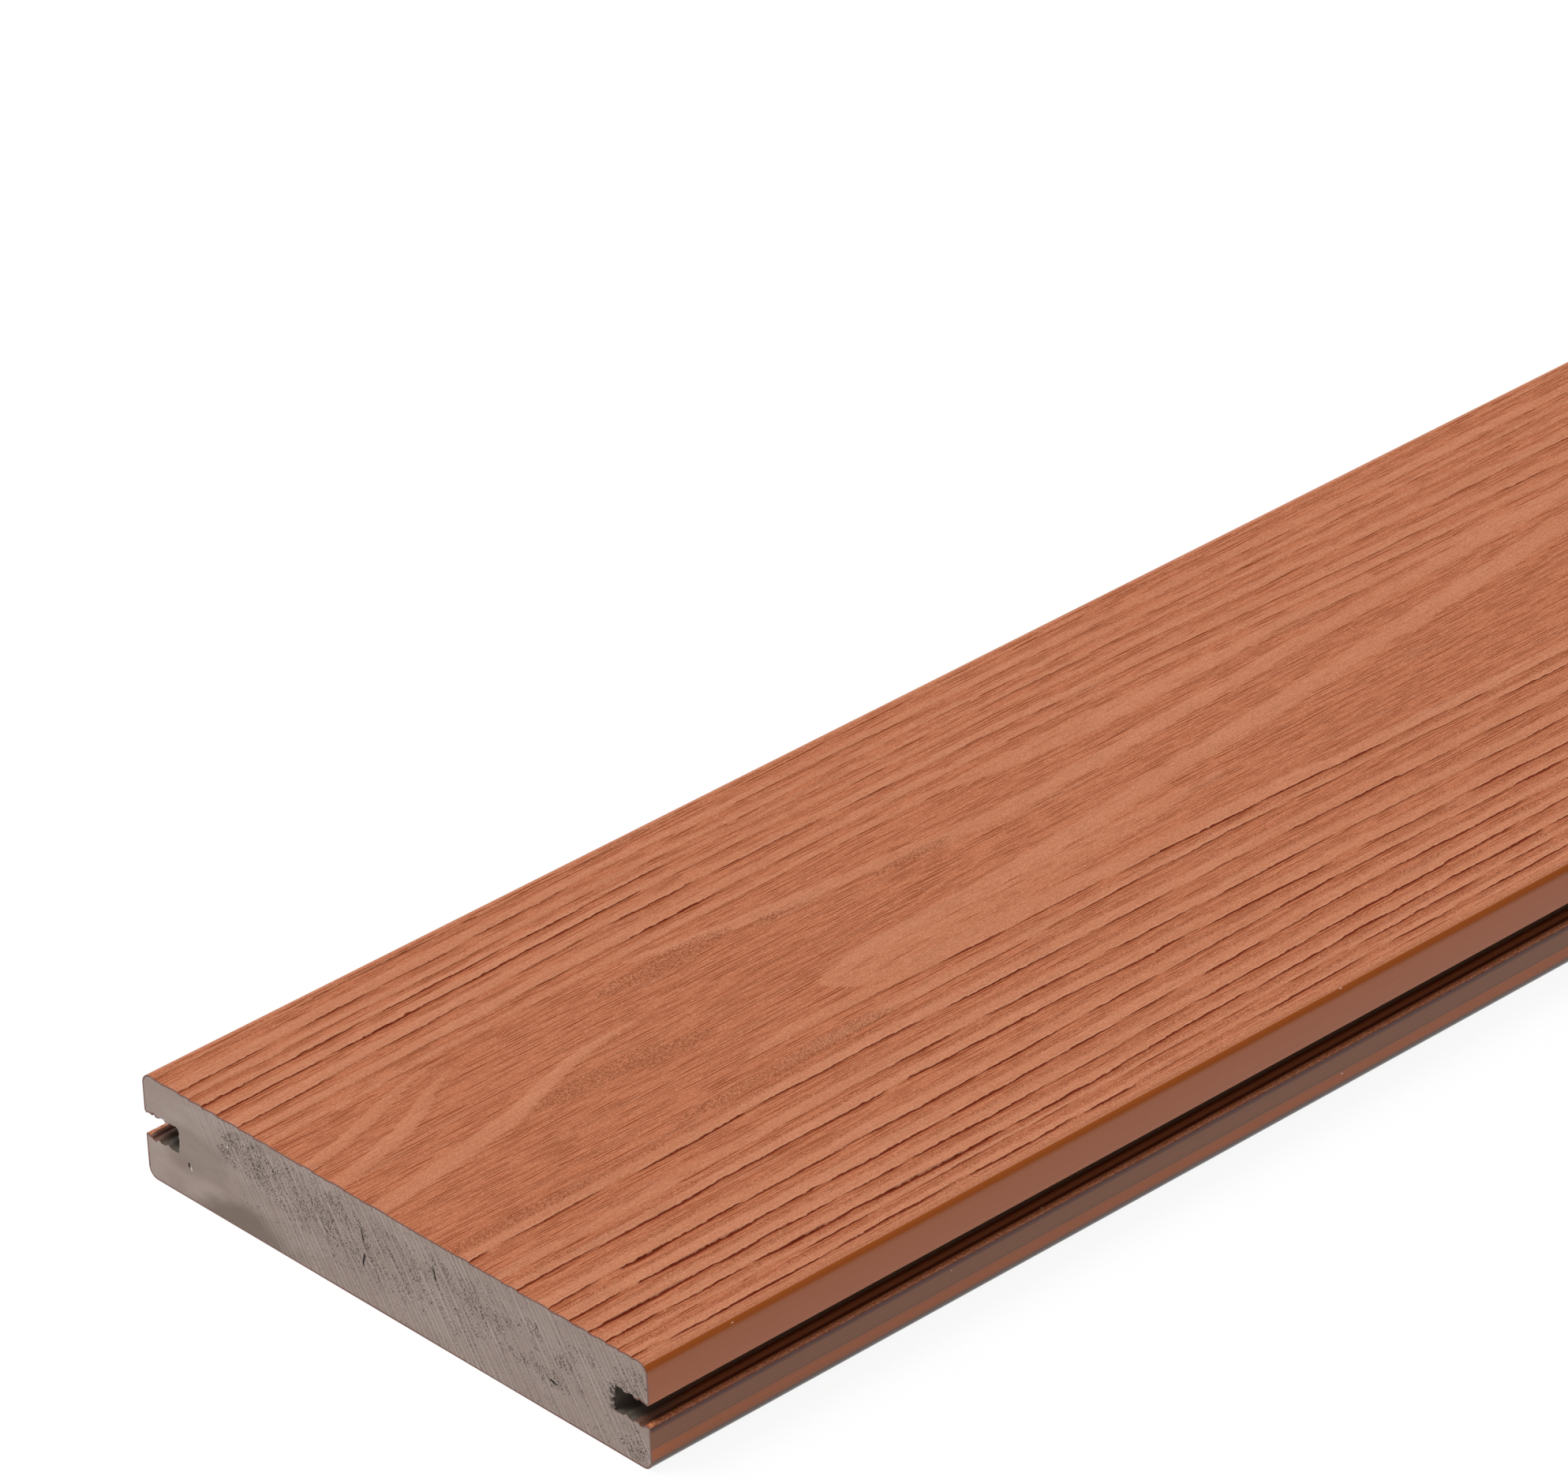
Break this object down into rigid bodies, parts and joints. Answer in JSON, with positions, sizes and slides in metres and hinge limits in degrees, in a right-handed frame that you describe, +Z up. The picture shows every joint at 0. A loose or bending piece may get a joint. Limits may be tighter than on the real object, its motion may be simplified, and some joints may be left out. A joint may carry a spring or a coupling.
{
  "type": "decking board",
  "caption": "Flat decking board with an embossed wood-grain top, rounded long edges and a ribbed groove along each side for hidden deck clips.",
  "frame": {"origin": "middle of the underside, on the floor plane", "axes": "+X along the board's length, +Y across its width, +Z up through its thickness to the grained walking face"},
  "size_m": [2.44, 0.14, 0.023],
  "materials": {
    "board_cap": "satin reddish-brown polymer cap, embossed wood grain on the top, grey foamed core on the sawn ends"
  },
  "bodies": {
    "root": {"decking_board": "board_cap"}
  },
  "joints": []
}
